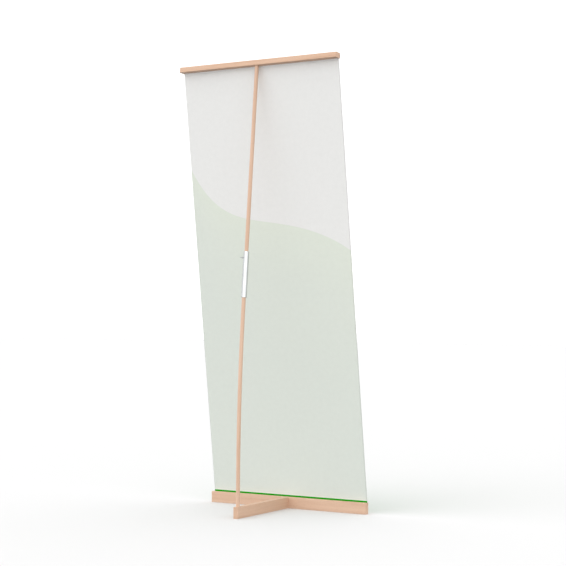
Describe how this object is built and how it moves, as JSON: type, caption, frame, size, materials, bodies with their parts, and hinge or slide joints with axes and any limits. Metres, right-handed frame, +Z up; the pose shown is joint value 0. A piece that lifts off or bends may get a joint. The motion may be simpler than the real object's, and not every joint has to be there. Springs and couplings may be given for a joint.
{
  "type": "banner stand",
  "caption": "Wooden T-foot banner stand with a sprung two-part pole, a clamping sleeve, a grooved top rail and a leaning fabric banner held by hem cords.",
  "frame": {"origin": "on the floor, in the middle of the footprint: half way between the foot bar's front face and the leg's rear end", "axes": "+X to the right seen from the printed side, -Y towards the viewer of the print, +Z up"},
  "size_m": [0.86, 0.459, 2.0922],
  "materials": {
    "beech_bar": "planed and clear-oiled beech",
    "beech_rod": "sanded beech rod",
    "aluminium_tube": "bright turned aluminium",
    "zinc_steel": "zinc-plated steel",
    "nylon": "natural nylon",
    "keder_cord": "extruded white cord",
    "print_fabric": "woven polyester, printed on the front, pale on the back"
  },
  "bodies": {
    "base": {"base_bar": "beech_bar", "leg_bar": "beech_bar", "leg_bolt": "zinc_steel", "barrel_nut": "zinc_steel", "locating_dowels": "beech_rod", "lower_pole": "beech_rod", "sleeve": "aluminium_tube", "sleeve_pin": "zinc_steel", "bottom_keder": "keder_cord", "bottom_hem": "print_fabric", "banner_panel": "print_fabric", "banner_top_strip": "print_fabric"},
    "upper": {"upper_pole": "beech_rod", "top_rail": "beech_bar", "top_hem": "print_fabric", "top_keder": "keder_cord"},
    "pad": {"pressure_pad": "nylon"},
    "screw": {"wing_screw": "zinc_steel"}
  },
  "joints": [
    {"name": "pole_slide", "type": "slide", "parent": "base", "child": "upper", "axis": [0, -0.1007, 0.9949], "range_m": [-0.078, 0], "deforming": ["banner_top_strip"]},
    {"name": "screw_travel", "type": "slide", "parent": "base", "child": "pad", "axis": [1, 0, 0], "range_m": [0, 0.002]},
    {"name": "screw_turn", "type": "hinge", "parent": "pad", "child": "screw", "pos_m": [0.02, 0.14244, 1.17807], "axis": [1, 0, 0], "range_deg": [0, 725]}
  ],
  "couplings": [
    {"joint": "screw_turn", "follows": "screw_travel", "rad_per_m": 6283.2}
  ]
}
